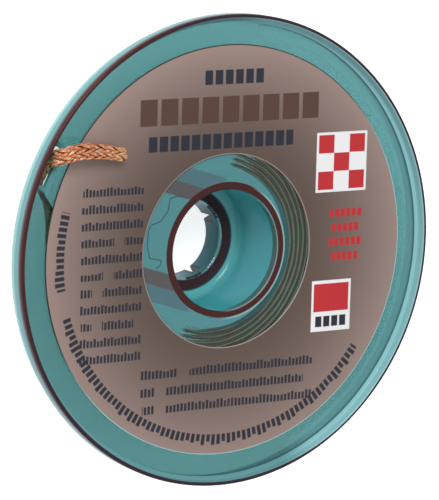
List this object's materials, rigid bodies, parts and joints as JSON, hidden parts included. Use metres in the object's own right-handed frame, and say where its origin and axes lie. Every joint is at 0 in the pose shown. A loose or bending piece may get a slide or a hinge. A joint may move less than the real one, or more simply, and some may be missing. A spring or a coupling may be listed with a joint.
{
  "type": "desoldering braid on a bobbin",
  "caption": "Copper desoldering braid wound inside a clear two-part plastic bobbin, with a ring label on the face and a short braid tail drawn out through a slot in the rim.",
  "frame": {"origin": "middle of the hub's back end, on the level floor that it lies on", "axes": "+Z along the bobbin's axis, from the hub's back end towards the label; the braid comes out of the rim on the -X side"},
  "size_m": [0.056, 0.056, 0.0148],
  "materials": {
    "clear_teal_plastic": "clear teal moulded plastic, glossy, dark maroon where it is thick or seen edge on",
    "label_foil": null,
    "copper_braid": "bright woven copper wire, flux coated"
  },
  "bodies": {
    "root": {"front_half": "clear_teal_plastic", "back_half": "clear_teal_plastic", "face_label": "label_foil", "braid_coil": "copper_braid", "braid_tail": "copper_braid"}
  },
  "joints": []
}
